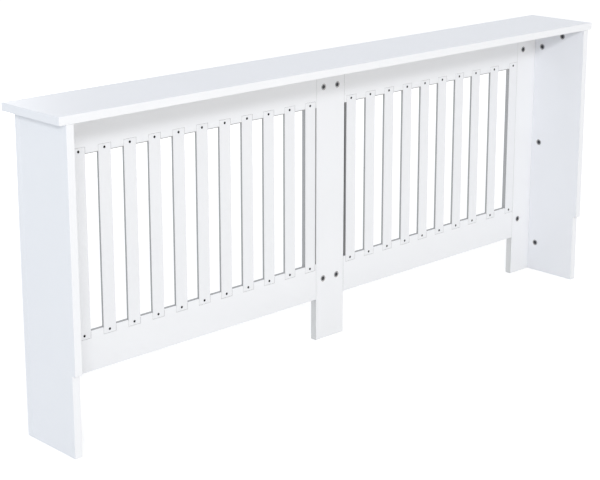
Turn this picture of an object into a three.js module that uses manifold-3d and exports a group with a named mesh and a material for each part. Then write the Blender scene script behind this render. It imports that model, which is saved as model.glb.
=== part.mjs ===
// Radiator cover cabinet: a flat-pack surround of white painted fibreboard that stands over a wall
// radiator. It has a two-piece top, two side panels, three stiles and two slatted grille panels,
// pulled together by cam locks and bolts.
//
// Millimetres. +Z is up, the room side faces -Y, the open wall side faces +Y, the floor is Z = 0 and
// the origin is the middle of the footprint. Right is +X, as seen from the room side.

import * as THREE from 'three';
import { ConvexGeometry } from 'three/addons/geometries/ConvexGeometry.js';
import { mergeVertices } from 'three/addons/utils/BufferGeometryUtils.js';
import Module from 'manifold-3d';

const wasm = await Module();
wasm.setup();

// Overall size.
const LENGTH = 1720;
const DEPTH = 200;
const HEIGHT = 715;

// Boards.
const BOARD = 18; // top, sides and stiles
const PANEL_THICKNESS = 12; // grille panels
const EASED_EDGE = 0.6; // chamfer along every board edge
const END_OVERHANG = 16; // top beyond each side panel
const FRONT_OVERHANG = 22; // top beyond the front of the stiles
const STILE_WIDTH = 94;
const CENTRE_STILE_SHIFT = 34; // centre stile left of the middle
const NOTCH_DEPTH = 10; // skirting notch in the side panels
const NOTCH_HEIGHT = 180;

// Grille panels: one board with a window, slats let into its rear face.
const PANEL_CLEARANCE = 0.3; // hairline joint between a panel and each stile
const PANEL_BOTTOM = 106; // above the floor
const BOTTOM_RAIL = 91; // panel below the window
const TOP_RAIL = 112; // panel above the window
const GROOVE_DEPTH = 9; // shadow groove beside an end slat

// Slats.
const SLAT_WIDTH = 33;
const SLAT_THICKNESS = 6;
const SLAT_LAP = 16; // slat over the rail at each end
const SLAT_CLEARANCE = 0.3; // between a slat and its pocket's walls
const SLAT_EASED_EDGE = 0.4;
const RIGHT_SLATS = { count: 11, toCentre: 20.5, toEnd: 46, wideGaps: [] };
const LEFT_SLATS = { count: 10, toCentre: 24.7, toEnd: SLAT_WIDTH / 2 + SLAT_CLEARANCE, wideGaps: [9, 13] };

// Countersunk screw holes at both ends of every slat, with pilots in the rail.
const SCREW_INSET = 8; // from the slat's end
const SCREW_HOLE_RADIUS = 1.6;
const COUNTERSINK_RADIUS = 3.4;
const COUNTERSINK_DEPTH = 2;
const PILOT_DEPTH = 3.5;

// Cam locks and the bolts that they pull on.
const CAM_BORE_RADIUS = 7.5;
const CAM_CLEARANCE = 0.25; // around the cam in its bore
const CAM_EDGE = 24; // cam axis from the board's edge
const CAM_SUNK = 0.4; // cam face below the board's face
const CAM_BELOW_BOLT = 4.5; // cam body beyond the bolt's axis
const CAM_CROSS_LENGTH = 9;
const CAM_CROSS_WIDTH = 1.7;
const CAM_CROSS_DEPTH = 1.8;
const CAM_MOUTH_RADIUS = 3.2; // opening in the cam that takes the bolt's head
const CAM_MOUTH_REACH = 2; // beyond the cam's axis
const BOLT_HEAD_RADIUS = 2.9;
const BOLT_HEAD_LENGTH = 3;
const BOLT_NECK_RADIUS = 1.9;
const BOLT_NECK_LENGTH = 3;
const BOLT_SHANK_RADIUS = 2.9;
const BOLT_HOLE_CLEARANCE = 0.3;
const BOLT_GRIP = 11; // bolt inside the board that it is screwed into

// Levels of the cams.
const STILE_CAM_DROP = 64; // upper stile cams below the underside of the top
const STILE_CAM_RISE = 49; // lower stile cams above the panel's bottom edge
const SIDE_CAM_DROP = 60;
const SIDE_CAM_RISE = 80;
const SIDE_CAM_MIDDLE = 0.52; // of the way from the lowest to the highest
const TOP_CAM_FROM_WALL = 70; // cam that holds the top down

const ROUND_SEGMENTS = 24;
const SMALL_ROUND_SEGMENTS = 12;

// Places that follow from the sizes above.
const UNDERSIDE = HEIGHT - BOARD;
const WALL_Y = DEPTH / 2;
const FRONT_Y = -DEPTH / 2 + FRONT_OVERHANG;
const STILE_REAR_Y = FRONT_Y + BOARD;
const PANEL_FRONT_Y = STILE_REAR_Y - PANEL_THICKNESS;
const POCKET_Y = STILE_REAR_Y - SLAT_THICKNESS;
const SIDE_X = LENGTH / 2 - END_OVERHANG;
const CENTRE_X = -CENTRE_STILE_SHIFT;
const WINDOW_BOTTOM = PANEL_BOTTOM + BOTTOM_RAIL;
const WINDOW_TOP = UNDERSIDE - TOP_RAIL;
const SLAT_BOTTOM = WINDOW_BOTTOM - SLAT_LAP;
const SLAT_TOP = WINDOW_TOP + SLAT_LAP;
const STILE_BOLT_Y = STILE_REAR_Y - PANEL_THICKNESS / 2;
const STILE_CAM_LEVELS = { upper: UNDERSIDE - STILE_CAM_DROP, lower: PANEL_BOTTOM + STILE_CAM_RISE };
const SIDE_CAM_TOP = UNDERSIDE - SIDE_CAM_DROP;
const SIDE_CAM_LEVELS = {
  upper: SIDE_CAM_TOP,
  middle: SIDE_CAM_RISE + SIDE_CAM_MIDDLE * (SIDE_CAM_TOP - SIDE_CAM_RISE),
  lower: SIDE_CAM_RISE,
};
const SIDES = [
  { name: 'right', sign: 1 },
  { name: 'left', sign: -1 },
];

// Materials.
function paintedBoard() {
  return new THREE.MeshStandardMaterial({ color: 0xf1f4f7, roughness: 0.42, metalness: 0 });
}

function paintedSlat() {
  return new THREE.MeshStandardMaterial({ color: 0xeef0f2, roughness: 0.45, metalness: 0 });
}

function castZinc() {
  return new THREE.MeshStandardMaterial({ color: 0x77787a, roughness: 0.4, metalness: 0.9 });
}

function platedSteel() {
  return new THREE.MeshStandardMaterial({ color: 0xb4b6b8, roughness: 0.3, metalness: 1 });
}

// Solids.
function toSolid(geometry) {
  const bare = geometry.clone();
  bare.deleteAttribute('normal');
  bare.deleteAttribute('uv');
  const merged = mergeVertices(bare, 1e-4);
  return new wasm.Manifold(new wasm.Mesh({
    numProp: 3,
    vertProperties: new Float32Array(merged.attributes.position.array),
    triVerts: new Uint32Array(merged.index.array),
  }));
}

function toGeometry(solid) {
  const mesh = solid.getMesh();
  const geometry = new THREE.BufferGeometry();
  geometry.setAttribute('position', new THREE.BufferAttribute(mesh.vertProperties, 3));
  geometry.setIndex(new THREE.BufferAttribute(mesh.triVerts, 1));
  geometry.computeVertexNormals();
  return geometry;
}

// A block between two corners, with every edge chamfered.
function easedBlock([x0, x1], [y0, y1], [z0, z1], ease) {
  const points = [];
  for (const [x, inwardX] of [[x0, ease], [x1, -ease]]) {
    for (const [y, inwardY] of [[y0, ease], [y1, -ease]]) {
      for (const [z, inwardZ] of [[z0, ease], [z1, -ease]]) {
        points.push(new THREE.Vector3(x, y + inwardY, z + inwardZ));
        points.push(new THREE.Vector3(x + inwardX, y, z + inwardZ));
        points.push(new THREE.Vector3(x + inwardX, y + inwardY, z));
      }
    }
  }
  return toSolid(new ConvexGeometry(points));
}

function block([x0, x1], [y0, y1], [z0, z1]) {
  const geometry = new THREE.BoxGeometry(x1 - x0, y1 - y0, z1 - z0);
  geometry.translate((x0 + x1) / 2, (y0 + y1) / 2, (z0 + z1) / 2);
  return toSolid(geometry);
}

// A turned solid: profile points are [radius, height], and height runs from origin along direction.
function turned(profile, origin, direction, segments) {
  const geometry = new THREE.LatheGeometry(
    profile.map(([radius, height]) => new THREE.Vector2(radius, height)),
    segments,
  );
  const turn = new THREE.Quaternion().setFromUnitVectors(new THREE.Vector3(0, 1, 0), direction);
  geometry.applyQuaternion(turn);
  geometry.translate(origin.x, origin.y, origin.z);
  return toSolid(geometry);
}

function rod(radius, from, to, origin, direction, segments) {
  return turned([[0, from], [radius, from], [radius, to], [0, to]], origin, direction, segments);
}

const group = new THREE.Group();

function addNode(name, solid, material) {
  const mesh = new THREE.Mesh(toGeometry(solid), material);
  mesh.name = name;
  group.add(mesh);
}

function span(a, b) {
  return [Math.min(a, b), Math.max(a, b)];
}

// Fittings: each is a cam in a board's face and the bolt that it pulls.
// origin is the cam's centre on the bolt's axis, out is the way the cam's face looks, along is the way
// the bolt leaves the cam, and depth is the bolt's axis below the board's face.
function fittingAt(name, origin, out, along, depth) {
  return { name, origin, out, along, depth };
}

function camBore(fitting) {
  const { origin, out, depth } = fitting;
  return rod(CAM_BORE_RADIUS, -CAM_BELOW_BOLT, depth + 1, origin, out, ROUND_SEGMENTS);
}

function boltHole(fitting, reach) {
  const radius = BOLT_SHANK_RADIUS + BOLT_HOLE_CLEARANCE;
  return rod(radius, 0, reach, fitting.origin, fitting.along, SMALL_ROUND_SEGMENTS);
}

function camSolid(fitting) {
  const { origin, out, along, depth } = fitting;
  const face = depth - CAM_SUNK;
  const radius = CAM_BORE_RADIUS - CAM_CLEARANCE;
  const rim = radius - EASED_EDGE;
  const profile = [
    [0, -CAM_BELOW_BOLT],
    [radius, -CAM_BELOW_BOLT],
    [radius, face - EASED_EDGE],
    [rim, face],
    [0, face],
  ];
  const mouth = rod(
    CAM_MOUTH_RADIUS, -CAM_MOUTH_REACH, CAM_BORE_RADIUS, origin, along, SMALL_ROUND_SEGMENTS,
  );
  const across = new THREE.Vector3().crossVectors(out, along);
  const body = turned(profile, origin, out, ROUND_SEGMENTS).subtract(mouth);
  const bar = crossBar(origin, out, along, across, face);
  const crossedBar = crossBar(origin, out, across, along, face);
  return body.subtract(bar).subtract(crossedBar);
}

// One bar of the cross recess in the cam's face, long in the direction of lengthways.
function crossBar(origin, out, lengthways, across, face) {
  const geometry = new THREE.BoxGeometry(CAM_CROSS_LENGTH, CAM_CROSS_WIDTH, CAM_CROSS_DEPTH * 2);
  const place = new THREE.Matrix4().makeBasis(lengthways, across, out);
  if (place.determinant() < 0) {
    place.makeBasis(lengthways, across.clone().negate(), out);
  }
  place.setPosition(origin.clone().addScaledVector(out, face));
  geometry.applyMatrix4(place);
  return toSolid(geometry);
}

function boltSolid(fitting) {
  const neckEnd = BOLT_HEAD_LENGTH / 2 + BOLT_NECK_LENGTH;
  const tip = CAM_EDGE + BOLT_GRIP;
  const profile = [
    [0, -BOLT_HEAD_LENGTH / 2],
    [BOLT_HEAD_RADIUS, -BOLT_HEAD_LENGTH / 2],
    [BOLT_HEAD_RADIUS, BOLT_HEAD_LENGTH / 2],
    [BOLT_NECK_RADIUS, BOLT_HEAD_LENGTH / 2],
    [BOLT_NECK_RADIUS, neckEnd],
    [BOLT_SHANK_RADIUS, neckEnd],
    [BOLT_SHANK_RADIUS, tip],
    [0, tip],
  ];
  return turned(profile, fitting.origin, fitting.along, SMALL_ROUND_SEGMENTS);
}

function cutFor(board, fittings, reach) {
  return fittings.reduce(
    (solid, fitting) => solid.subtract(camBore(fitting)).subtract(boltHole(fitting, reach)),
    board,
  );
}

function drillTips(board, fittings) {
  return fittings.reduce(
    (solid, fitting) => solid.subtract(boltHole(fitting, CAM_EDGE + BOLT_GRIP)),
    board,
  );
}

function addFittings(fittings) {
  for (const fitting of fittings) {
    addNode(`cam_${fitting.name}`, camSolid(fitting), castZinc());
    addNode(`bolt_${fitting.name}`, boltSolid(fitting), platedSteel());
  }
}

// Two cams, one above the other, at a stile's edge, with their bolts in the grille panel beside it.
function stileFittings(name, edgeX, towardsPanel) {
  const along = new THREE.Vector3(towardsPanel, 0, 0);
  const out = new THREE.Vector3(0, 1, 0);
  return Object.entries(STILE_CAM_LEVELS).map(([level, z]) => {
    const origin = new THREE.Vector3(edgeX - towardsPanel * CAM_EDGE, STILE_BOLT_Y, z);
    return fittingAt(`${name}_${level}`, origin, out, along, PANEL_THICKNESS / 2);
  });
}

// Three cams down a side panel's inner face, with their bolts in the end stile's rear face.
function sideFittings(side) {
  const along = new THREE.Vector3(0, -1, 0);
  const out = new THREE.Vector3(-side.sign, 0, 0);
  const x = side.sign * (SIDE_X - BOARD / 2);
  return Object.entries(SIDE_CAM_LEVELS).map(([level, z]) => {
    const origin = new THREE.Vector3(x, STILE_REAR_Y + CAM_EDGE, z);
    return fittingAt(`side_${side.name}_${level}`, origin, out, along, BOARD / 2);
  });
}

// The cam at the head of a side panel that holds the top down.
function topFitting(side) {
  const x = side.sign * (SIDE_X - BOARD / 2);
  const origin = new THREE.Vector3(x, WALL_Y - TOP_CAM_FROM_WALL, UNDERSIDE - CAM_EDGE);
  const out = new THREE.Vector3(-side.sign, 0, 0);
  return fittingAt(`top_${side.name}`, origin, out, new THREE.Vector3(0, 0, 1), BOARD / 2);
}

// The top, in two halves that meet over the centre stile.
function addTop() {
  for (const side of SIDES) {
    const halfX = span(CENTRE_X, side.sign * LENGTH / 2);
    const half = easedBlock(halfX, [-WALL_Y, WALL_Y], [UNDERSIDE, HEIGHT], EASED_EDGE);
    addNode(`top_board_${side.name}`, half, paintedBoard());
  }
}

function addSidePanel(side, fittings, topCam) {
  const panelX = span(side.sign * (SIDE_X - BOARD), side.sign * SIDE_X);
  const notchX = span(side.sign * (SIDE_X - BOARD - 1), side.sign * (SIDE_X + 1));
  const board = easedBlock(panelX, [STILE_REAR_Y, WALL_Y], [0, UNDERSIDE], EASED_EDGE);
  const notch = block(notchX, [WALL_Y - NOTCH_DEPTH, WALL_Y + 1], [-1, NOTCH_HEIGHT]);
  const bored = cutFor(board.subtract(notch), fittings, CAM_EDGE + 1);
  addNode(`side_panel_${side.name}`, cutFor(bored, [topCam], CAM_EDGE + 1), paintedBoard());
}

function addStile(name, stileX, camFittings, tipFittings) {
  const board = easedBlock(stileX, [FRONT_Y, STILE_REAR_Y], [0, UNDERSIDE], EASED_EDGE);
  const bored = cutFor(board, camFittings, CAM_EDGE + 1);
  addNode(name, drillTips(bored, tipFittings), paintedBoard());
}

// Slat centres, from the slat beside the centre stile outwards. Wide gaps come last.
function slatCentres(side, innerX, outerX, layout) {
  const regular = layout.count - 1;
  const extra = layout.wideGaps.reduce((sum, gap) => sum + gap, 0);
  const width = Math.abs(outerX - innerX);
  const pitch = (width - layout.toCentre - layout.toEnd - extra) / regular;
  const firstWide = regular - layout.wideGaps.length;
  const centres = [];
  let offset = layout.toCentre;
  for (let index = 0; index < layout.count; index += 1) {
    centres.push(innerX + side.sign * offset);
    offset += pitch + (layout.wideGaps[index - firstWide] ?? 0);
  }
  return centres;
}

function screwLevels() {
  return [SLAT_BOTTOM + SCREW_INSET, SLAT_TOP - SCREW_INSET];
}

function addSlats(side, centres) {
  const rearwards = new THREE.Vector3(0, 1, 0);
  const screwProfile = [
    [0, -1],
    [SCREW_HOLE_RADIUS, -1],
    [SCREW_HOLE_RADIUS, SLAT_THICKNESS - COUNTERSINK_DEPTH],
    [COUNTERSINK_RADIUS, SLAT_THICKNESS],
    [COUNTERSINK_RADIUS, SLAT_THICKNESS + 1],
    [0, SLAT_THICKNESS + 1],
  ];
  centres.forEach((centre, index) => {
    const slatX = [centre - SLAT_WIDTH / 2, centre + SLAT_WIDTH / 2];
    let slat = easedBlock(slatX, [POCKET_Y, STILE_REAR_Y], [SLAT_BOTTOM, SLAT_TOP], SLAT_EASED_EDGE);
    for (const z of screwLevels()) {
      const origin = new THREE.Vector3(centre, POCKET_Y, z);
      slat = slat.subtract(turned(screwProfile, origin, rearwards, SMALL_ROUND_SEGMENTS));
    }
    addNode(`slat_${side.name}_${String(index + 1).padStart(2, '0')}`, slat, paintedSlat());
  });
}

// A grille panel: a window, a pocket for each slat in the rear face, a shadow groove between an end
// slat and its stile, and a pilot hole behind every screw.
function addGrillePanel(side, innerX, outerX, centres, layout, fittings) {
  const forwards = new THREE.Vector3(0, -1, 0);
  const innerEdge = innerX + side.sign * PANEL_CLEARANCE;
  const outerEdge = outerX - side.sign * PANEL_CLEARANCE;
  const board = easedBlock(
    span(innerEdge, outerEdge), [PANEL_FRONT_Y, STILE_REAR_Y], [PANEL_BOTTOM, UNDERSIDE], EASED_EDGE,
  );
  const halfSlat = side.sign * SLAT_WIDTH / 2;
  const first = centres[0];
  const last = centres[centres.length - 1];
  const windowX = span(first + halfSlat, last - halfSlat);
  const window = block(windowX, [PANEL_FRONT_Y - 1, STILE_REAR_Y + 1], [WINDOW_BOTTOM, WINDOW_TOP]);
  const pockets = centres.map((centre) => {
    const reach = SLAT_WIDTH / 2 + SLAT_CLEARANCE;
    const pocketZ = [SLAT_BOTTOM - SLAT_CLEARANCE, SLAT_TOP + SLAT_CLEARANCE];
    return block([centre - reach, centre + reach], [POCKET_Y, STILE_REAR_Y + 1], pocketZ);
  });
  const grooves = [span(innerX, first - halfSlat)];
  if (layout.toEnd > SLAT_WIDTH) {
    grooves.push(span(last + halfSlat, last + halfSlat + side.sign * (layout.toCentre - SLAT_WIDTH / 2)));
  }
  const grooveY = [STILE_REAR_Y - GROOVE_DEPTH, STILE_REAR_Y + 1];
  const grooveCuts = grooves.map((grooveX) => block(grooveX, grooveY, [WINDOW_BOTTOM, WINDOW_TOP]));
  const pilots = centres.flatMap((centre) => screwLevels().map((z) => {
    const origin = new THREE.Vector3(centre, POCKET_Y + 1, z);
    return rod(SCREW_HOLE_RADIUS, 0, PILOT_DEPTH + 1, origin, forwards, SMALL_ROUND_SEGMENTS);
  }));
  const cuts = [window, ...pockets, ...grooveCuts, ...pilots];
  const panel = cuts.reduce((solid, cut) => solid.subtract(cut), board);
  addNode(`grille_panel_${side.name}`, drillTips(panel, fittings), paintedBoard());
}

addTop();

const centreFittings = [];
for (const side of SIDES) {
  const innerX = CENTRE_X + side.sign * STILE_WIDTH / 2;
  const outerX = side.sign * (SIDE_X - STILE_WIDTH);
  const layout = side.sign > 0 ? RIGHT_SLATS : LEFT_SLATS;
  const centres = slatCentres(side, innerX, outerX, layout);
  const inner = stileFittings(`centre_${side.name}`, innerX, side.sign);
  const outer = stileFittings(`end_${side.name}`, outerX, -side.sign);
  const sideCams = sideFittings(side);
  const topCam = topFitting(side);
  centreFittings.push(...inner);
  addSidePanel(side, sideCams, topCam);
  addStile(`stile_${side.name}`, span(outerX, side.sign * SIDE_X), outer, sideCams);
  addGrillePanel(side, innerX, outerX, centres, layout, [...inner, ...outer]);
  addSlats(side, centres);
  addFittings([...inner, ...outer, ...sideCams]);
  addNode(`cam_${topCam.name}`, camSolid(topCam), castZinc());
}
addStile(
  'stile_centre', [CENTRE_X - STILE_WIDTH / 2, CENTRE_X + STILE_WIDTH / 2], centreFittings, [],
);

export default group;
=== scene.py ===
"""A white flat-pack radiator cover seen from its open wall side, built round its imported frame.

Right is +X and left is -X, as seen from the room side (-Y). The wall side is +Y.
"""

import math

import bpy
from bpy.props import FloatProperty, FloatVectorProperty, PointerProperty
from mathutils import Matrix, Vector


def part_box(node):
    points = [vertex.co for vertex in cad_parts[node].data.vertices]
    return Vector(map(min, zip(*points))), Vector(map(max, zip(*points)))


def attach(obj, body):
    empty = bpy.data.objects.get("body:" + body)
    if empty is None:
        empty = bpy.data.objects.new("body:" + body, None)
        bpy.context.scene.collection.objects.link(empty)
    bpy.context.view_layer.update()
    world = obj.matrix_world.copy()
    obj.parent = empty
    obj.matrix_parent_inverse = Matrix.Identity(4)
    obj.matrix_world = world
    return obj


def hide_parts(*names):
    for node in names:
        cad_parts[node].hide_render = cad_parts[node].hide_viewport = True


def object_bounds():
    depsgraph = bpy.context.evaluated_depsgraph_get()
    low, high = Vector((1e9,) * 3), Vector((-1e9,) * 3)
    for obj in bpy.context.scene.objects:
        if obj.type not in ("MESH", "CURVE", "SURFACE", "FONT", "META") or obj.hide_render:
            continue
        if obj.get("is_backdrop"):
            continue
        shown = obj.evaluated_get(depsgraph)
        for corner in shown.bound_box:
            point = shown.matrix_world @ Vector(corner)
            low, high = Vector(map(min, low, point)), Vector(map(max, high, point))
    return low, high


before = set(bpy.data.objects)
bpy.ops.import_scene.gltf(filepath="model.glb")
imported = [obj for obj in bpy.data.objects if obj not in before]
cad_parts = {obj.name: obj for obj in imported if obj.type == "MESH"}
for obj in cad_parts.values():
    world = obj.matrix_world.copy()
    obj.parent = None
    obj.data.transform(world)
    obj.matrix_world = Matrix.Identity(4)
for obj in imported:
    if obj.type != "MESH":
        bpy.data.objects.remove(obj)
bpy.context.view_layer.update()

bl_info = {
    "name": "Radiator Cover Cabinet",
    "version": (1, 0, 0),
    "blender": (4, 5, 0),
    "location": "View3D > Sidebar > Radiator Cover",
    "description": "Builds a slatted radiator cover from its boards, slats, screws and cam locks",
    "category": "Add Mesh",
}

MM = 0.001
IMAGE_WIDTH = 600
SENSOR_WIDTH = 36.0
BEYOND = 2 * MM  # how far a cutter reaches past the surface that it opens
STRAIGHT = 0.9  # least part of a face's normal along an axis, for a face that looks along it
FACE_SLOT, EDGE_SLOT, LINING_SLOT = 0, 1, 2
SIDES = ("right", "left")
SLAT_NAMES = sorted(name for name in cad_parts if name.startswith("slat_"))
CAM_NAMES = sorted(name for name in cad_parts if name.startswith("cam_"))
BOLT_NAMES = sorted(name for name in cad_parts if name.startswith("bolt_"))


# Sizes and colours


def linear(hex_colour):
    """An sRGB hex value as a linear RGBA colour."""
    channels = [int(hex_colour[i:i + 2], 16) / 255 for i in (1, 3, 5)]
    curved = [c / 12.92 if c <= 0.04045 else ((c + 0.055) / 1.055) ** 2.4 for c in channels]
    return (*curved, 1.0)


def colour_property(name, description, hex_colour):
    return FloatVectorProperty(
        name=name, description=description, default=linear(hex_colour), size=4,
        min=0.0, max=1.0, subtype="COLOR")


class CabinetSizes(bpy.types.PropertyGroup):
    """Sizes of the fine shapes that the frame doesn't hold."""

    edge_radius: FloatProperty(
        name="Board edge", description="Rounding along the edges of the thick boards",
        default=1.0 * MM, min=0.0, unit="LENGTH")
    panel_edge_radius: FloatProperty(
        name="Panel edge", description="Rounding along the edges of the grille panels",
        default=0.5 * MM, min=0.0, unit="LENGTH")
    slat_edge_radius: FloatProperty(
        name="Slat edge", description="Rounding along the edges of the slats",
        default=0.5 * MM, min=0.0, unit="LENGTH")
    notch_depth: FloatProperty(
        name="Skirting notch depth",
        description="How far the side panels are cut back at the floor",
        default=10 * MM, min=0.0, unit="LENGTH")
    notch_height: FloatProperty(
        name="Skirting notch height", description="Height of the cut-back at the floor",
        default=180 * MM, min=0.0, unit="LENGTH")
    slat_lap: FloatProperty(
        name="Slat lap", description="Length of slat over the rail at each end",
        default=16 * MM, min=0.0, unit="LENGTH")
    pocket_gap: FloatProperty(
        name="Pocket gap", description="Gap between a slat and the walls of its pocket",
        default=0.3 * MM, min=0.0, unit="LENGTH")
    groove_depth: FloatProperty(
        name="Groove depth", description="Depth of the groove between an end slat and its stile",
        default=9 * MM, min=0.0, unit="LENGTH")
    bore_radius: FloatProperty(
        name="Cam bore radius", description="Radius of the bore that a cam lock sits in",
        default=7.5 * MM, min=0.0, unit="LENGTH")
    screw_inset: FloatProperty(
        name="Screw inset", description="Screw axis from the end of its slat",
        default=8 * MM, min=0.0, unit="LENGTH")
    screw_head_radius: FloatProperty(
        name="Screw head radius", description="Radius of a slat screw's countersunk head",
        default=2.9 * MM, min=0.0, unit="LENGTH")
    countersink_radius: FloatProperty(
        name="Countersink radius", description="Radius of a countersunk hole at the slat's face",
        default=3.6 * MM, min=0.0, unit="LENGTH")
    countersink_depth: FloatProperty(
        name="Countersink depth", description="Depth at which a countersunk hole becomes straight",
        default=2 * MM, min=0.0, unit="LENGTH")
    screw_hole_radius: FloatProperty(
        name="Screw hole radius", description="Radius of the straight part of a screw hole",
        default=1.6 * MM, min=0.0, unit="LENGTH")
    window_edge_radius: FloatProperty(
        name="Window edge", description="Rounding routed along the edges of the windows",
        default=2.5 * MM, min=0.0, unit="LENGTH")


class CabinetColours(bpy.types.PropertyGroup):
    """Colours of the finishes."""

    board: colour_property("Board paint", "White satin paint on the boards", "#EEF0F5")
    slat: colour_property("Slat paint", "White satin paint on the slats", "#EBEDF2")
    # Painted shade: the stiles' side faces inside the cabinet are painted this grey for the shade
    # there.
    stile_side_shade: colour_property("Stile edge", "Paint on the sawn edges of the stiles", "#D7D8D9")
    # Painted shade: the grille's and slats' edges are painted this grey for the shade in the gaps.
    edge_shade: colour_property(
        "Cut edge", "Thin paint on the cut edges of the grille and slats", "#A9AAAC")
    # Painted shade: the grooves are painted this dark grey for the shade inside them.
    groove: colour_property(
        "Groove", "Sealer that the paint spray doesn't cover inside the grooves", "#77787B")
    raw_board: colour_property("Raw fibreboard", "Bare fibreboard inside a bore", "#B08F68")
    cam_rim: colour_property("Tumbled zinc", "Tumbled zinc on the rim of a cam lock", "#B9BABD")
    # Painted shade: the cam's recess is painted this darker grey for the shade inside it.
    cam_recess: colour_property(
        "Cast zinc", "Casting skin inside a cam lock's recess", "#5C5D60")
    screw: colour_property("Phosphated steel", "Dark coating of the slat screws", "#2E2F32")
    bolt: colour_property("Plated steel", "Zinc-plated steel of the cam bolts", "#B9BBBE")


class StageSettings(bpy.types.PropertyGroup):
    """Camera and lights."""

    camera_place: FloatVectorProperty(
        name="Camera place", description="Where the camera stands",
        default=(2.5014, 2.4718, 1.3332), subtype="TRANSLATION", unit="LENGTH")
    camera_heading: FloatProperty(
        name="Camera heading", description="Turn of the view away from the -Y direction",
        default=math.radians(43.87), subtype="ANGLE", unit="ROTATION")
    camera_drop: FloatProperty(
        name="Camera drop", description="How far the view looks below the horizon",
        default=math.radians(13.40), subtype="ANGLE", unit="ROTATION")
    focal_pixels: FloatProperty(
        name="Focal length", description="Focal length in pixels of the image", default=1525.7)
    rise_pixels: FloatProperty(
        name="Lens rise", description="View centre below the optical axis, in pixels", default=92.0)
    floor_colour: colour_property("Floor", "Colour of the pale floor", "#DCDCDC")
    key_power: FloatProperty(
        name="Key light", description="Power of the far light high on the wall side",
        default=435.0, subtype="POWER", unit="POWER")
    low_power: FloatProperty(
        name="Low light", description="Power of the warm light low on the wall side",
        default=15.0, subtype="POWER", unit="POWER")
    side_power: FloatProperty(
        name="Side light", description="Power of the cool light off the right end's front corner",
        default=6.0, subtype="POWER", unit="POWER")
    room_power: FloatProperty(
        name="Room light", description="Power of the light on the room side",
        default=28.0, subtype="POWER", unit="POWER")
    sky_strength: FloatProperty(
        name="Surrounding light", description="Level of the even light all round",
        default=0.749, min=0.0)
    sky_colour: colour_property("Surrounding colour", "Tint of the even light all round", "#FAFCFF")


def sizes():
    return bpy.context.scene.cabinet_sizes


def colours():
    return bpy.context.scene.cabinet_colours


def stage_settings():
    return bpy.context.scene.cabinet_stage


# Materials


def add_node(tree, kind, inputs=None, **settings):
    """Adds a node. inputs maps its input names to values, or to the sockets that feed them."""
    node = tree.nodes.new(kind)
    for name, value in settings.items():
        setattr(node, name, value)
    for name, value in (inputs or {}).items():
        if isinstance(value, bpy.types.NodeSocket):
            tree.links.new(value, node.inputs[name])
        else:
            node.inputs[name].default_value = value
    return node


def new_material(name):
    """An empty material, or None if it is already made."""
    if name in bpy.data.materials:
        return None
    material = bpy.data.materials.new(name)
    material.use_nodes = True
    material.node_tree.nodes.clear()
    return material


def darker(colour, by):
    """The colour with this fraction of its light taken off."""
    return tuple((1 - by) * c for c in colour[:3]) + (1.0,)


def per_metre(millimetres):
    """Noise scale whose features are about this size."""
    return 1 / (millimetres * MM)


def painted_surface(name, colour, roughness, peel_mm, peel_depth_mm, fibre_mm):
    """Water-based paint sprayed on medium-density fibreboard.

    cloud is the uneven thickness of the coat, which drifts over about 240 mm. peel is
    the orange peel of the spray. fibre is the felt of wood fibres that swells under the paint:
    real fibres are about 0.05 mm thick, too fine to show in the render, so they are drawn 0.3 to
    0.5 mm thick.
    """
    material = new_material(name)
    if material is None:
        return bpy.data.materials[name]
    tree = material.node_tree
    place = add_node(tree, "ShaderNodeTexCoord").outputs["Object"]
    cloud = add_node(tree, "ShaderNodeTexNoise", {
        "Vector": place, "Scale": per_metre(240), "Detail": 3.0, "Roughness": 0.55})
    peel = add_node(tree, "ShaderNodeTexNoise", {
        "Vector": place, "Scale": per_metre(peel_mm), "Detail": 2.0, "Roughness": 0.5})
    fibre = add_node(tree, "ShaderNodeTexNoise", {
        "Vector": place, "Scale": per_metre(fibre_mm), "Detail": 4.0, "Roughness": 0.6})
    tint = add_node(tree, "ShaderNodeMix", {
        "Factor": cloud.outputs["Fac"], "A": darker(colour, by=0.045), "B": colour},
        data_type="RGBA")
    gloss = add_node(tree, "ShaderNodeMapRange", {
        "Value": fibre.outputs["Fac"], "From Min": 0.3, "From Max": 0.7,
        "To Min": roughness - 0.05, "To Max": roughness + 0.07})
    skin = add_node(tree, "ShaderNodeBump", {
        "Height": peel.outputs["Fac"], "Strength": 0.35, "Distance": peel_depth_mm * MM})
    grain = add_node(tree, "ShaderNodeBump", {
        "Height": fibre.outputs["Fac"], "Strength": 0.3, "Distance": peel_depth_mm * MM,
        "Normal": skin.outputs["Normal"]})
    shader = add_node(tree, "ShaderNodeBsdfPrincipled", {
        "Base Color": tint.outputs["Result"], "Roughness": gloss.outputs["Result"],
        "Normal": grain.outputs["Normal"], "IOR": 1.49})
    add_node(tree, "ShaderNodeOutputMaterial", {"Surface": shader.outputs["BSDF"]})
    return material


def board_face():
    """Sanded face, primed and sprayed twice: smooth, so the eye gets a soft, even sheen."""
    return painted_surface(
        "satin_paint_on_fibreboard", colours().board,
        roughness=0.40, peel_mm=1.6, peel_depth_mm=0.05, fibre_mm=0.5)


def board_edge():
    """Routed edge, sanded and sprayed as well as the faces: white, but drier and a bit rougher."""
    return painted_surface(
        "satin_paint_on_board_edge", colours().board,
        roughness=0.48, peel_mm=0.9, peel_depth_mm=0.08, fibre_mm=0.3)


def stile_side_shade():
    """Grey paint on the stiles' side faces, as painted shade for the faces inside the cabinet."""
    return painted_surface(
        "grey_paint_for_stile_shade", colours().stile_side_shade,
        roughness=0.52, peel_mm=0.8, peel_depth_mm=0.08, fibre_mm=0.3)


def edge_shade():
    """Matt grey on the grille's and slats' edges: painted shade for the faces in the gaps."""
    return painted_surface(
        "grey_paint_for_edge_shade", colours().edge_shade,
        roughness=0.6, peel_mm=0.8, peel_depth_mm=0.1, fibre_mm=0.3)


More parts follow.
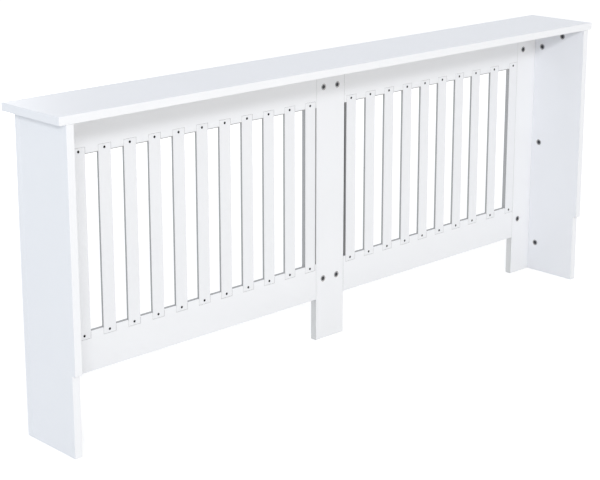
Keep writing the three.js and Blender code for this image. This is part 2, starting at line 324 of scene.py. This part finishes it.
def groove_shade_paint():
    """Dark, dead matt paint inside the grooves: painted shade for the deep, narrow grooves."""
    return painted_surface(
        "dark_paint_for_groove_shade", colours().groove,
        roughness=0.7, peel_mm=0.8, peel_depth_mm=0.1, fibre_mm=0.3)


def slat_face():
    """Thin board painted flat on a rack: the same sheen as the boards, a shade less white."""
    return painted_surface(
        "satin_paint_on_slat", colours().slat,
        roughness=0.44, peel_mm=1.4, peel_depth_mm=0.05, fibre_mm=0.5)


def raw_fibreboard():
    """Medium-density fibreboard, bored after painting: the eye gets a dry, felted brown.

    The felt's clumps are drawn 0.4 mm wide, a few times coarser than they are.
    """
    material = new_material("raw_fibreboard")
    if material is None:
        return bpy.data.materials["raw_fibreboard"]
    tree = material.node_tree
    place = add_node(tree, "ShaderNodeTexCoord").outputs["Object"]
    felt = add_node(tree, "ShaderNodeTexNoise", {
        "Vector": place, "Scale": per_metre(0.4), "Detail": 5.0, "Roughness": 0.7})
    brown = colours().raw_board
    tint = add_node(tree, "ShaderNodeMix", {
        "Factor": felt.outputs["Fac"], "A": darker(brown, by=0.4), "B": brown},
        data_type="RGBA")
    bump = add_node(tree, "ShaderNodeBump", {
        "Height": felt.outputs["Fac"], "Strength": 0.6, "Distance": 0.2 * MM})
    shader = add_node(tree, "ShaderNodeBsdfPrincipled", {
        "Base Color": tint.outputs["Result"], "Roughness": 0.9, "Normal": bump.outputs["Normal"]})
    add_node(tree, "ShaderNodeOutputMaterial", {"Surface": shader.outputs["BSDF"]})
    return material


def metal_surface(name, colour, roughness, grain_mm, grain_depth_mm, contrast):
    """A small metal fitting.

    cloud is the uneven grey of the metal or its coating, in patches of about 4 mm. grain is
    the roughness that breaks up its highlights: real grain is under 0.1 mm, too fine to show in
    the render, so it is drawn 0.3 to 0.6 mm wide.
    """
    material = new_material(name)
    if material is None:
        return bpy.data.materials[name]
    tree = material.node_tree
    place = add_node(tree, "ShaderNodeTexCoord").outputs["Object"]
    cloud = add_node(tree, "ShaderNodeTexNoise", {
        "Vector": place, "Scale": per_metre(4), "Detail": 4.0, "Roughness": 0.6})
    grain = add_node(tree, "ShaderNodeTexNoise", {
        "Vector": place, "Scale": per_metre(grain_mm), "Detail": 3.0, "Roughness": 0.6})
    tint = add_node(tree, "ShaderNodeMix", {
        "Factor": cloud.outputs["Fac"], "A": darker(colour, by=contrast), "B": colour},
        data_type="RGBA")
    gloss = add_node(tree, "ShaderNodeMapRange", {
        "Value": grain.outputs["Fac"], "From Min": 0.3, "From Max": 0.7,
        "To Min": roughness - 0.08, "To Max": roughness + 0.1})
    bump = add_node(tree, "ShaderNodeBump", {
        "Height": grain.outputs["Fac"], "Strength": 0.5, "Distance": grain_depth_mm * MM})
    shader = add_node(tree, "ShaderNodeBsdfPrincipled", {
        "Base Color": tint.outputs["Result"], "Roughness": gloss.outputs["Result"],
        "Metallic": 1.0, "Normal": bump.outputs["Normal"]})
    add_node(tree, "ShaderNodeOutputMaterial", {"Surface": shader.outputs["BSDF"]})
    return material


def tumbled_zinc():
    """Die-cast zinc, tumbled with stones: a soft, light grey ring on the cam's face."""
    return metal_surface(
        "tumbled_zinc", colours().cam_rim,
        roughness=0.42, grain_mm=0.5, grain_depth_mm=0.04, contrast=0.25)


def zinc_recess_shade():
    """A darker copy of the zinc in a cam's recess: painted shade, a dull, dark grey."""
    return metal_surface(
        "zinc_with_recess_shade", colours().cam_recess,
        roughness=0.6, grain_mm=0.5, grain_depth_mm=0.06, contrast=0.35)


def blackened_steel():
    """Steel wire headed and phosphated: nearly black, with a dull glint."""
    return metal_surface(
        "phosphated_steel", colours().screw,
        roughness=0.42, grain_mm=0.3, grain_depth_mm=0.03, contrast=0.3)


def plated_steel():
    """Turned steel, barrel-plated with zinc: a bright, faintly frosted grey."""
    return metal_surface(
        "zinc_plated_steel", colours().bolt,
        roughness=0.3, grain_mm=0.6, grain_depth_mm=0.02, contrast=0.2)


# Modelling


def deselect_all():
    bpy.ops.object.select_all(action="DESELECT")


def make_active(piece):
    deselect_all()
    piece.select_set(True)
    bpy.context.view_layer.objects.active = piece


def settle(piece):
    """Puts the piece's place, turn and size into its mesh."""
    make_active(piece)
    bpy.ops.object.transform_apply(location=True, rotation=True, scale=True)


def add_block(name, low, high):
    deselect_all()
    bpy.ops.mesh.primitive_cube_add(size=1, location=(low + high) / 2)
    piece = bpy.context.object
    piece.name = name
    piece.scale = high - low
    settle(piece)
    return piece


def select_faces(piece, test):
    """Selects the faces whose centre and normal pass the test, and opens edit mode."""
    make_active(piece)
    bpy.ops.object.mode_set(mode="EDIT")
    bpy.ops.mesh.select_mode(type="FACE")
    bpy.ops.mesh.select_all(action="DESELECT")
    bpy.ops.object.mode_set(mode="OBJECT")
    for face in piece.data.polygons:
        face.select = test(face.center, face.normal)
    bpy.ops.object.mode_set(mode="EDIT")


def select_edges(piece, test):
    """Selects the edges whose two ends both pass the test, and opens edit mode."""
    make_active(piece)
    bpy.ops.object.mode_set(mode="EDIT")
    bpy.ops.mesh.select_mode(type="EDGE")
    bpy.ops.mesh.select_all(action="DESELECT")
    bpy.ops.object.mode_set(mode="OBJECT")
    points = [vertex.co for vertex in piece.data.vertices]
    for edge in piece.data.edges:
        a, b = (points[i] for i in edge.vertices)
        edge.select = test(a, b)
    bpy.ops.object.mode_set(mode="EDIT")


def close_edit():
    bpy.ops.object.mode_set(mode="OBJECT")


def apply_modifier(piece, kind, **settings):
    make_active(piece)
    bpy.ops.object.modifier_add(type=kind)
    modifier = piece.modifiers[-1]
    for name, value in settings.items():
        setattr(modifier, name, value)
    bpy.ops.object.modifier_apply(modifier=modifier.name)


def join(pieces):
    deselect_all()
    for piece in pieces:
        piece.select_set(True)
    bpy.context.view_layer.objects.active = pieces[0]
    if len(pieces) > 1:
        bpy.ops.object.join()
    return pieces[0]


def cut(piece, cutters, lining=None):
    """Cuts the cutters out of the piece. They don't overlap. lining is the new walls' material."""
    cutter = join(cutters)
    if lining is not None:
        cutter.data.materials.append(lining)
    apply_modifier(
        piece, "BOOLEAN", operation="DIFFERENCE", solver="EXACT", object=cutter,
        material_mode="TRANSFER" if lining is not None else "INDEX")
    bpy.data.objects.remove(cutter)


def round_edges(piece, radius):
    apply_modifier(
        piece, "BEVEL", width=radius, segments=2, limit_method="ANGLE",
        angle_limit=math.radians(50), use_clamp_overlap=True)


def smooth_rounds(piece):
    make_active(piece)
    bpy.ops.object.shade_smooth_by_angle(angle=math.radians(20))


def copy_of(piece, name):
    made = piece.copy()
    made.data = piece.data.copy()
    made.name = name
    made.data.name = name
    bpy.context.collection.objects.link(made)
    return made


def paint(piece, face_material, edge_material, across):
    """Paints the faces that look along the axis across, and the rest as edges.

    The walls that a cut has lined keep their material.
    """
    least_along = 0.6
    before = list(piece.data.materials)
    lined = {face.index for face in piece.data.polygons
             if face.material_index < len(before) and before[face.material_index]}
    linings = [material for material in before if material]
    piece.data.materials.clear()
    for material in (face_material, edge_material, *linings):
        piece.data.materials.append(material)
    for face in piece.data.polygons:
        if face.index in lined:
            face.material_index = LINING_SLOT
        elif abs(face.normal[across]) > least_along:
            face.material_index = FACE_SLOT
        else:
            face.material_index = EDGE_SLOT


def finish_piece(piece, node):
    """Puts the piece on the body. node is the CAD node it stands for, if it has one."""
    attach(piece, "root")
    if node is not None:
        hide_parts(node)


# Boards


def rod(radius, start, end, origin, direction, vertices=48):
    """A round cutter along direction, from start to end as distances from origin."""
    deselect_all()
    turn = Vector((0, 0, 1)).rotation_difference(direction).to_euler()
    centre = origin + direction * (start + end) / 2
    bpy.ops.mesh.primitive_cylinder_add(
        vertices=vertices, radius=radius, depth=end - start, location=centre, rotation=turn)
    piece = bpy.context.object
    settle(piece)
    return piece


def cam_face(name):
    """The middle of a cam's face and the way the face looks."""
    low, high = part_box(name)
    middle = (low + high) / 2
    if "side_" in name or "top_" in name:
        inward = -1 if middle.x > 0 else 1
        face_x = low.x if inward < 0 else high.x
        return Vector((face_x, middle.y, middle.z)), Vector((inward, 0, 0))
    return Vector((middle.x, high.y, middle.z)), Vector((0, 1, 0))


def cam_depth(name):
    low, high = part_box(name)
    _, out = cam_face(name)
    return abs((high - low).dot(out))


def bores_for(names):
    """Cutters for the bores of these cams."""
    past_face = 3 * MM
    cutters = []
    for name in names:
        face, out = cam_face(name)
        cutters.append(rod(sizes().bore_radius, -cam_depth(name), past_face, face, out))
    return cutters


def cams_of(*parts):
    return [name for name in CAM_NAMES if any(part in name for part in parts)]


class CABINET_OT_top_boards(bpy.types.Operator):
    """Make the two halves of the top"""

    bl_idname = "cabinet.top_boards"
    bl_label = "Top Boards"

    def execute(self, context):
        for side in SIDES:
            node = f"top_board_{side}"
            board = add_block(f"top_{side}", *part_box(node))
            round_edges(board, sizes().edge_radius)
            paint(board, board_face(), board_edge(), across=2)
            smooth_rounds(board)
            finish_piece(board, node)
        return {"FINISHED"}


class CABINET_OT_side_panels(bpy.types.Operator):
    """Make the two side panels, with their skirting notch and cam bores"""

    bl_idname = "cabinet.side_panels"
    bl_label = "Side Panels"

    def execute(self, context):
        for side in SIDES:
            self.make_panel(side)
        return {"FINISHED"}

    def make_panel(self, side):
        node = f"side_panel_{side}"
        low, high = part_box(node)
        depth = Vector((0, sizes().notch_depth, 0))
        notch_height = sizes().notch_height
        panel = add_block(f"side_{side}", low, high - depth)
        make_active(panel)
        bpy.ops.object.mode_set(mode="EDIT")
        bpy.ops.mesh.select_all(action="SELECT")
        bpy.ops.mesh.bisect(plane_co=(0, 0, notch_height), plane_no=(0, 0, 1))
        close_edit()
        select_faces(
            panel, lambda centre, normal: normal.y > STRAIGHT and centre.z > notch_height)
        bpy.ops.mesh.extrude_region_move(TRANSFORM_OT_translate={"value": depth})
        close_edit()
        cut(panel, bores_for(cams_of(f"side_{side}", f"top_{side}")), raw_fibreboard())
        round_edges(panel, sizes().edge_radius)
        paint(panel, board_face(), board_edge(), across=0)
        smooth_rounds(panel)
        finish_piece(panel, node)


class CABINET_OT_stiles(bpy.types.Operator):
    """Make the two end stiles and the centre stile, with their cam bores"""

    bl_idname = "cabinet.stiles"
    bl_label = "Stiles"

    def execute(self, context):
        for node, cams in (
            ("stile_right", cams_of("end_right")),
            ("stile_centre", cams_of("centre_")),
            ("stile_left", cams_of("end_left")),
        ):
            stile = add_block(node.replace("stile_", "upright_"), *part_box(node))
            cut(stile, bores_for(cams), raw_fibreboard())
            round_edges(stile, sizes().edge_radius)
            # The stiles' side faces get the grey painted shade.
            paint(stile, board_face(), stile_side_shade(), across=1)
            self.paint_outer_edge(stile)
            smooth_rounds(stile)
            finish_piece(stile, node)
        return {"FINISHED"}

    def paint_outer_edge(self, stile):
        """An end stile's outer edge keeps the board paint; its inner faces get painted shade."""
        far_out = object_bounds()[1].x / 2
        for face in stile.data.polygons:
            if face.center.x * face.normal.x > far_out:
                face.material_index = FACE_SLOT


class CABINET_OT_grille_panels(bpy.types.Operator):
    """Make the two grille panels, with their window, slat pockets and shadow grooves"""

    bl_idname = "cabinet.grille_panels"
    bl_label = "Grille Panels"

    def execute(self, context):
        for side in SIDES:
            self.make_panel(side)
        return {"FINISHED"}

    def make_panel(self, side):
        node = f"grille_panel_{side}"
        low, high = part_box(node)
        slats = sorted(
            (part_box(name) for name in SLAT_NAMES if side in name), key=lambda box: box[0].x)
        first_low, first_high = slats[0]
        last_low, last_high = slats[-1]
        window_low_z = first_low.z + sizes().slat_lap
        window_high_z = first_high.z - sizes().slat_lap
        gap = sizes().pocket_gap
        panel = add_block(f"grille_{side}", low, high)
        window = add_block(
            "window",
            Vector((first_high.x, low.y - BEYOND, window_low_z)),
            Vector((last_low.x, high.y + BEYOND, window_high_z)))
        cut(panel, [window])
        self.round_window(panel, (low, high))
        pockets = []
        for slat_low, slat_high in slats:
            pockets.append(add_block(
                "pocket",
                Vector((slat_low.x - gap, slat_low.y, slat_low.z - gap)),
                Vector((slat_high.x + gap, high.y + BEYOND, slat_high.z + gap))))
        cut(panel, pockets)
        self.cut_grooves(panel, side, (low, high), slats, (window_low_z, window_high_z))
        round_edges(panel, sizes().panel_edge_radius)
        # The grille's edges get the grey painted shade.
        paint(panel, board_face(), edge_shade(), across=1)
        self.paint_lintel_shade(panel, window_high_z)
        smooth_rounds(panel)
        finish_piece(panel, node)

    def round_window(self, panel, panel_box):
        """Rounds the window's edges on both faces of the panel."""
        low, high = panel_box
        margin = 1 * MM

        def on_window(point):
            return (low.x + margin < point.x < high.x - margin
                    and low.z + margin < point.z < high.z - margin)

        select_edges(
            panel, lambda a, b: on_window(a) and on_window(b) and abs(a.y - b.y) < margin)
        bpy.ops.mesh.bevel(offset=sizes().window_edge_radius, segments=3, affect="EDGES")
        close_edit()

    def paint_lintel_shade(self, panel, window_top):
        """The rounded rear edge of the lintel gets the grey as painted shade under the lintel."""
        reach = 1.5 * sizes().window_edge_radius
        at_wall, at_face = 0.2, 0.97  # how far the rounding's normals turn to the rear
        for face in panel.data.polygons:
            if abs(face.center.z - window_top) < reach and at_wall < face.normal.y < at_face:
                face.material_index = EDGE_SLOT

    def cut_grooves(self, panel, side, panel_box, slats, window_z):
        """Each panel has a groove from the centre stile to the slat beside it.

        The right panel has one beside its outermost slat as well. Each groove runs a little way
        under its slat.
        """
        low, high = panel_box
        floor_y = high.y - sizes().groove_depth
        under_slat = 1 * MM
        if side == "right":
            first, last = slats[0], slats[-1]
            width = first[0].x - low.x
            far_end = last[1].x + sizes().pocket_gap + width
            spans = [
                (low.x - BEYOND, first[0].x + under_slat),
                (last[1].x - under_slat, far_end)]
        else:
            spans = [(slats[-1][1].x - under_slat, high.x + BEYOND)]
        for from_x, to_x in spans:
            groove = add_block(
                "groove",
                Vector((from_x, floor_y, window_z[0])),
                Vector((to_x, high.y + BEYOND, window_z[1])))
            # The groove's walls and floor get the dark painted shade.
            cut(panel, [groove], groove_shade_paint())


# Slats and screws


def screw_places(slat_box):
    """Where the screws' axes meet the rear face of a slat."""
    low, high = slat_box
    x = (low.x + high.x) / 2
    inset = sizes().screw_inset
    return [Vector((x, high.y, low.z + inset)), Vector((x, high.y, high.z - inset))]


def countersink(place):
    """A cutter for a countersunk hole, wide at the rear face and straight below it."""
    mouth = sizes().countersink_radius
    throat = sizes().screw_hole_radius
    depth = sizes().countersink_depth
    above, below = 1 * MM, 6 * MM
    deselect_all()
    bpy.ops.mesh.primitive_cone_add(
        vertices=32, radius1=throat, radius2=mouth, depth=depth,
        location=place - Vector((0, depth / 2, 0)), rotation=(-math.pi / 2, 0, 0))
    cutter = bpy.context.object
    settle(cutter)
    select_faces(cutter, lambda centre, normal: normal.y > STRAIGHT)
    bpy.ops.mesh.extrude_region_move(TRANSFORM_OT_translate={"value": (0, above, 0)})
    close_edit()
    select_faces(cutter, lambda centre, normal: normal.y < -STRAIGHT)
    bpy.ops.mesh.extrude_region_move(TRANSFORM_OT_translate={"value": (0, -below, 0)})
    close_edit()
    return cutter


class CABINET_OT_slats(bpy.types.Operator):
    """Make one countersunk slat and copy it to every pocket"""

    bl_idname = "cabinet.slats"
    bl_label = "Slats"

    def execute(self, context):
        first_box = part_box(SLAT_NAMES[0])
        pattern = add_block("slat_pattern", *first_box)
        round_edges(pattern, sizes().slat_edge_radius)
        cut(pattern, [countersink(place) for place in screw_places(first_box)])
        # The slat's edges get the grey painted shade.
        paint(pattern, slat_face(), edge_shade(), across=1)
        smooth_rounds(pattern)
        for node in SLAT_NAMES:
            slat = copy_of(pattern, node.replace("slat_", "lath_"))
            slat.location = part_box(node)[0] - first_box[0]
            settle(slat)
            finish_piece(slat, node)
        bpy.data.objects.remove(pattern)
        return {"FINISHED"}


def cross_recess(length, width, depth, taper, centre, out):
    """Cutters for the two bars of a cross, which narrow towards the bottom."""
    bars = []
    for turn in (45, 135):
        deselect_all()
        bpy.ops.mesh.primitive_cube_add(size=1, location=(0, 0, 0))
        bar = bpy.context.object
        bar.scale = (length, width, depth * 2)
        settle(bar)
        select_faces(bar, lambda middle, normal: normal.z < -STRAIGHT)
        bpy.ops.transform.resize(value=(taper, taper, 1))
        close_edit()
        bar.rotation_euler = (0, 0, math.radians(turn))
        settle(bar)
        bar.rotation_euler = Vector((0, 0, 1)).rotation_difference(out).to_euler()
        bar.location = centre
        settle(bar)
        bars.append(bar)
    return bars


class CABINET_OT_slat_screws(bpy.types.Operator):
    """Make one cross-head countersunk screw and copy it to both ends of every slat"""

    bl_idname = "cabinet.slat_screws"
    bl_label = "Slat Screws"

    def execute(self, context):
        pattern = self.make_pattern()
        for node in SLAT_NAMES:
            for end, place in zip(("foot", "head"), screw_places(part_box(node))):
                screw = copy_of(pattern, f"{node.replace('slat_', 'screw_')}_{end}")
                screw.location = place
                settle(screw)
                finish_piece(screw, None)
        bpy.data.objects.remove(pattern)
        return {"FINISHED"}

    def make_pattern(self):
        """The screw's head lies just under the origin, and its shank runs towards -Y."""
        head = sizes().screw_head_radius
        mouth = sizes().countersink_radius
        throat = sizes().screw_hole_radius
        slope = sizes().countersink_depth / (mouth - throat)
        shank = 1.3 * MM
        shank_length = 5 * MM
        tip_length = 1.2 * MM
        tip_taper = 0.3
        rim = 0.2 * MM
        sunk = (mouth - head) * slope - rim
        cone = (head - shank) * slope
        deselect_all()
        bpy.ops.mesh.primitive_cylinder_add(
            vertices=32, radius=head, depth=rim,
            location=(0, -sunk - rim / 2, 0), rotation=(-math.pi / 2, 0, 0))
        screw = bpy.context.object
        screw.name = "screw_pattern"
        settle(screw)
        select_faces(screw, lambda centre, normal: normal.y < -STRAIGHT)
        bpy.ops.mesh.extrude_region_move(TRANSFORM_OT_translate={"value": (0, -cone, 0)})
        shrink = shank / head
        bpy.ops.transform.resize(value=(shrink, 1, shrink))
        bpy.ops.mesh.extrude_region_move(TRANSFORM_OT_translate={"value": (0, -shank_length, 0)})
        bpy.ops.mesh.extrude_region_move(TRANSFORM_OT_translate={"value": (0, -tip_length, 0)})
        bpy.ops.transform.resize(value=(tip_taper, 1, tip_taper))
        close_edit()
        for bar in cross_recess(
                length=3.4 * MM, width=0.9 * MM, depth=1.3 * MM, taper=0.45,
                centre=Vector((0, -sunk, 0)), out=Vector((0, 1, 0))):
            cut(screw, [bar])
        round_edges(screw, radius=0.1 * MM)
        screw.data.materials.append(blackened_steel())
        smooth_rounds(screw)
        return screw


# Cam locks


class CABINET_OT_cam_locks(bpy.types.Operator):
    """Make a cam lock for each depth of bore and copy it to every bore"""

    bl_idname = "cabinet.cam_locks"
    bl_label = "Cam Locks"

    def execute(self, context):
        patterns = {}
        for node in CAM_NAMES:
            depth = cam_depth(node)
            key = round(depth / MM, 1)
            if key not in patterns:
                patterns[key] = self.make_pattern(depth)
            face, out = cam_face(node)
            cam = copy_of(patterns[key], node.replace("cam_", "camlock_"))
            cam.matrix_world = self.placing(node, face, out)
            settle(cam)
            finish_piece(cam, node)
        for pattern in patterns.values():
            bpy.data.objects.remove(pattern)
        return {"FINISHED"}

    def placing(self, node, face, out):
        """Turns the pattern's +Z to the way the face looks and its +X to the bolt."""
        if "side_" in node:
            along = Vector((0, -1, 0))
        elif "top_" in node:
            along = Vector((0, 0, 1))
        else:
            towards_right = "centre_right" in node or "end_left" in node
            along = Vector((1 if towards_right else -1, 0, 0))
        across = out.cross(along)
        turn = Matrix((along, across, out)).transposed().to_4x4()
        return Matrix.Translation(face) @ turn

    def make_pattern(self, depth):
        """A cam whose face is at the origin, looking along +Z."""
        clearance = 0.25 * MM
        bolt_above_base = 4.5 * MM
        recess_depth = 0.8 * MM
        recess_taper = 0.92
        deselect_all()
        bpy.ops.mesh.primitive_cylinder_add(
            vertices=48, radius=sizes().bore_radius - clearance, depth=depth,
            location=(0, 0, -depth / 2))
        cam = bpy.context.object
        cam.name = "cam_pattern"
        settle(cam)
        select_faces(cam, lambda centre, normal: normal.z > STRAIGHT)
        bpy.ops.mesh.inset(thickness=2.4 * MM)
        bpy.ops.mesh.extrude_region_move(TRANSFORM_OT_translate={"value": (0, 0, -recess_depth)})
        bpy.ops.transform.resize(value=(recess_taper, recess_taper, 1))
        close_edit()
        for bar in cross_recess(
                length=8.8 * MM, width=1.9 * MM, depth=2.0 * MM, taper=0.6,
                centre=Vector((0, 0, -recess_depth)), out=Vector((0, 0, 1))):
            cut(cam, [bar])
        mouth = rod(
            radius=3.2 * MM, start=-2 * MM, end=9 * MM,
            origin=Vector((0, 0, bolt_above_base - depth)), direction=Vector((1, 0, 0)),
            vertices=32)
        cut(cam, [mouth])
        cut(cam, [self.arrow()])
        round_edges(cam, radius=0.15 * MM)
        self.finish_metal(cam)
        smooth_rounds(cam)
        return cam

    def finish_metal(self, cam):
        """The recess gets the darker zinc as painted shade, and the rest the light zinc."""
        rim_slot, recess_slot = 0, 1
        recess_radius = 4.86 * MM
        least_depth = 0.05 * MM
        cam.data.materials.append(tumbled_zinc())
        cam.data.materials.append(zinc_recess_shade())
        for face in cam.data.polygons:
            from_axis = math.hypot(face.center.x, face.center.y)
            in_recess = from_axis < recess_radius and face.center.z < -least_depth
            face.material_index = recess_slot if in_recess else rim_slot

    def arrow(self):
        """A three-sided dimple near the rim that shows which way the cam's mouth points."""
        deselect_all()
        bpy.ops.mesh.primitive_cylinder_add(
            vertices=3, radius=0.8 * MM, depth=0.5 * MM,
            location=(6.3 * MM, 0, 0), rotation=(0, 0, -math.pi / 2))
        dimple = bpy.context.object
        settle(dimple)
        return dimple


class CABINET_OT_cam_bolts(bpy.types.Operator):
    """Give the cam bolts their plated finish"""

    bl_idname = "cabinet.cam_bolts"
    bl_label = "Cam Bolts"

    def execute(self, context):
        for node in BOLT_NAMES:
            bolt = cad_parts[node]
            bolt.data.materials.clear()
            bolt.data.materials.append(plated_steel())
        return {"FINISHED"}


# Stage


def looked_at(tree):
    """1 for rays from the camera, a reflection or glass, and 0 for light on its way round."""
    path = add_node(tree, "ShaderNodeLightPath")
    seen = path.outputs["Is Camera Ray"]
    for ray in ("Is Glossy Ray", "Is Transmission Ray"):
        either = add_node(
            tree, "ShaderNodeMath", {0: seen, 1: path.outputs[ray]}, operation="MAXIMUM")
        seen = either.outputs["Value"]
    return seen


def stage_material(name, colour, near_glow, far_glow):
    """A plain pale surface. The camera, gloss and glass see it lifted to white.

    The lift is weaker near the object, so that the shadows round its feet stay.
    """
    near, far = 0.9, 3.0
    material = new_material(name)
    tree = material.node_tree
    place = add_node(tree, "ShaderNodeTexCoord").outputs["Object"]
    distance = add_node(tree, "ShaderNodeVectorMath", {0: place}, operation="LENGTH")
    glow = add_node(tree, "ShaderNodeMapRange", {
        "Value": distance.outputs["Value"], "From Min": near, "From Max": far,
        "To Min": near_glow, "To Max": far_glow})
    lift = add_node(
        tree, "ShaderNodeMath", {0: looked_at(tree), 1: glow.outputs["Result"]},
        operation="MULTIPLY")
    matt = add_node(tree, "ShaderNodeBsdfDiffuse", {"Color": colour})
    light = add_node(tree, "ShaderNodeEmission", {"Strength": lift.outputs["Value"]})
    both = add_node(
        tree, "ShaderNodeAddShader", {0: matt.outputs["BSDF"], 1: light.outputs["Emission"]})
    add_node(tree, "ShaderNodeOutputMaterial", {"Surface": both.outputs["Shader"]})
    return material


def add_light(name, place, width, height, power, colour):
    """A softbox that looks at the middle of the object."""
    middle = Vector((0, 0, 0.36))
    light = bpy.data.lights.new(name, "AREA")
    light.shape = "RECTANGLE"
    light.size = width
    light.size_y = height
    light.energy = power
    light.color = linear(colour)[:3]
    lamp = bpy.data.objects.new(name, light)
    lamp.location = place
    lamp.rotation_euler = (middle - Vector(place)).to_track_quat("-Z", "Y").to_euler()
    bpy.context.collection.objects.link(lamp)


class CABINET_OT_stage(bpy.types.Operator):
    """Set up the floor, the soft lights and the camera"""

    bl_idname = "cabinet.stage"
    bl_label = "Stage"

    def execute(self, context):
        self.make_floor()
        self.make_surroundings(context.scene)
        self.make_lights()
        self.make_camera(context.scene)
        context.scene.view_settings.view_transform = "Standard"
        return {"FINISHED"}

    def make_floor(self):
        deselect_all()
        bpy.ops.mesh.primitive_plane_add(size=60, location=(0, 0, 0))
        floor = bpy.context.object
        floor.name = "floor"
        floor.data.materials.append(stage_material(
            "pale_floor", stage_settings().floor_colour, near_glow=0.43, far_glow=0.54))
        floor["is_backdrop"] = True

    def make_surroundings(self, scene):
        """Even, slightly cool light from all round, and plain white where it is seen."""
        world = bpy.data.worlds.new("studio")
        world.use_nodes = True
        tree = world.node_tree
        tree.nodes.clear()
        even = add_node(tree, "ShaderNodeBackground", {
            "Color": stage_settings().sky_colour, "Strength": stage_settings().sky_strength})
        white = add_node(tree, "ShaderNodeBackground", {"Color": (1, 1, 1, 1), "Strength": 1.0})
        both = add_node(tree, "ShaderNodeMixShader", {
            0: looked_at(tree), 1: even.outputs["Background"], 2: white.outputs["Background"]})
        add_node(tree, "ShaderNodeOutputWorld", {"Surface": both.outputs["Shader"]})
        scene.world = world

    def make_lights(self):
        stage = stage_settings()
        add_light(
            "key", place=(6.46, 8.27, 4.89), width=2.8, height=1.2,
            power=stage.key_power, colour="#FFFFFF")
        add_light(
            "low", place=(0.0, 3.2, 0.5), width=2.6, height=0.7,
            power=stage.low_power, colour="#FFEFC8")
        add_light(
            "side", place=(3.2, -2.0, 1.1), width=1.6, height=1.6,
            power=stage.side_power, colour="#DCF9FF")
        add_light(
            "room", place=(-0.6, -3.4, 0.8), width=1.4, height=1.2,
            power=stage.room_power, colour="#FFFFFF")

    def make_camera(self, scene):
        stage = stage_settings()
        data = bpy.data.cameras.new("camera")
        data.sensor_width = SENSOR_WIDTH
        data.lens = stage.focal_pixels * SENSOR_WIDTH / IMAGE_WIDTH
        data.shift_y = -stage.rise_pixels / IMAGE_WIDTH
        camera = bpy.data.objects.new("camera", data)
        camera.location = stage.camera_place
        camera.rotation_euler = (
            math.pi / 2 - stage.camera_drop, 0, math.pi - stage.camera_heading)
        bpy.context.collection.objects.link(camera)
        scene.camera = camera


# Panel and registration


OPERATORS = (
    CABINET_OT_top_boards,
    CABINET_OT_side_panels,
    CABINET_OT_stiles,
    CABINET_OT_grille_panels,
    CABINET_OT_slats,
    CABINET_OT_slat_screws,
    CABINET_OT_cam_locks,
    CABINET_OT_cam_bolts,
    CABINET_OT_stage,
)


class CABINET_PT_parts(bpy.types.Panel):
    """Lists the cabinet's pieces and settings"""

    bl_idname = "CABINET_PT_parts"
    bl_label = "Radiator Cover"
    bl_space_type = "VIEW_3D"
    bl_region_type = "UI"
    bl_category = "Radiator Cover"

    def draw(self, context):
        layout = self.layout
        for operator in OPERATORS:
            layout.operator(operator.bl_idname)
        for group in (context.scene.cabinet_sizes, context.scene.cabinet_colours,
                      context.scene.cabinet_stage):
            box = layout.box()
            for name in group.bl_rna.properties.keys():
                if name not in ("rna_type", "name"):
                    box.prop(group, name)


CLASSES = (CabinetSizes, CabinetColours, StageSettings, *OPERATORS, CABINET_PT_parts)


def register():
    for cls in CLASSES:
        bpy.utils.register_class(cls)
    bpy.types.Scene.cabinet_sizes = PointerProperty(type=CabinetSizes)
    bpy.types.Scene.cabinet_colours = PointerProperty(type=CabinetColours)
    bpy.types.Scene.cabinet_stage = PointerProperty(type=StageSettings)


def unregister():
    del bpy.types.Scene.cabinet_stage
    del bpy.types.Scene.cabinet_colours
    del bpy.types.Scene.cabinet_sizes
    for cls in reversed(CLASSES):
        bpy.utils.unregister_class(cls)


def main():
    register()
    bpy.ops.cabinet.top_boards()
    bpy.ops.cabinet.side_panels()
    bpy.ops.cabinet.stiles()
    bpy.ops.cabinet.grille_panels()
    bpy.ops.cabinet.slats()
    bpy.ops.cabinet.slat_screws()
    bpy.ops.cabinet.cam_locks()
    bpy.ops.cabinet.cam_bolts()
    bpy.ops.cabinet.stage()


if __name__ == "__main__":
    main()
